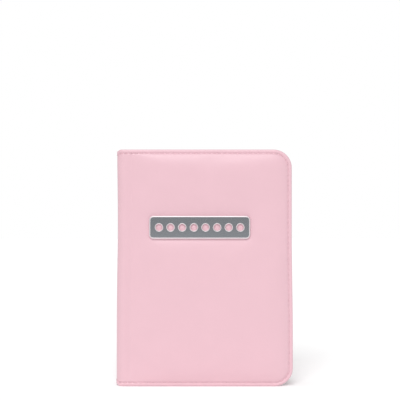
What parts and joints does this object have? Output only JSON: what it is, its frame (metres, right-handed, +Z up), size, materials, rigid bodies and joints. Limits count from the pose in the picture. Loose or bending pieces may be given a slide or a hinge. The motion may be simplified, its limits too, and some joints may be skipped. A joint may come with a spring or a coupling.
{
  "type": "passport holder",
  "caption": "Padded bifold passport cover with a soft folding spine, inner card slots, a slip pocket, a passport sleeve and a pierced metal badge on the front.",
  "frame": {"origin": "bottom centre of the bounding box of the holder as it stands, slightly open", "axes": "+Z up along the spine, -Y out of the front cover's face, -X towards the spine; the front cover is parallel to XZ and the back cover opens away from it towards +Y"},
  "size_m": [0.1044, 0.0256, 0.14],
  "materials": {
    "pink_leather": "satin",
    "pocket_leather": "satin",
    "lining_cloth": "matte",
    "foam": "matte",
    "board": "matte",
    "stiffener_plastic": "matte",
    "thread": "satin",
    "badge_metal": "polished",
    "washer_steel": "satin"
  },
  "bodies": {
    "back_cover": {"back_outer_skin": "pink_leather", "back_foam_pad": "foam", "back_board": "board", "back_lining": "lining_cloth", "back_edge_stitching": "thread", "passport_sleeve": "pocket_leather", "sleeve_stitching": "thread"},
    "spine": {"spine_outer_skin": "pink_leather", "spine_stiffener": "stiffener_plastic", "spine_lining": "lining_cloth", "spine_edge_stitching": "thread"},
    "front_cover": {"front_outer_skin": "pink_leather", "front_foam_pad": "foam", "front_board": "board", "front_lining": "lining_cloth", "front_edge_stitching": "thread", "badge_plate": "badge_metal", "badge_washers": "washer_steel", "slip_pocket": "lining_cloth", "card_slot_rear": "pocket_leather", "card_slot_middle": "pocket_leather", "card_slot_front": "pocket_leather", "card_slot_stitching": "thread"}
  },
  "joints": [
    {"name": "back_crease", "type": "hinge", "parent": "back_cover", "child": "spine", "pos_m": [-0.05129, 0.00342, 0], "axis": [0, 0, -1], "range_deg": [-2.75, 88]},
    {"name": "front_crease", "type": "hinge", "parent": "spine", "child": "front_cover", "pos_m": [-0.05083, -0.00957, 0], "axis": [0, 0, -1], "range_deg": [-2.75, 88]}
  ]
}
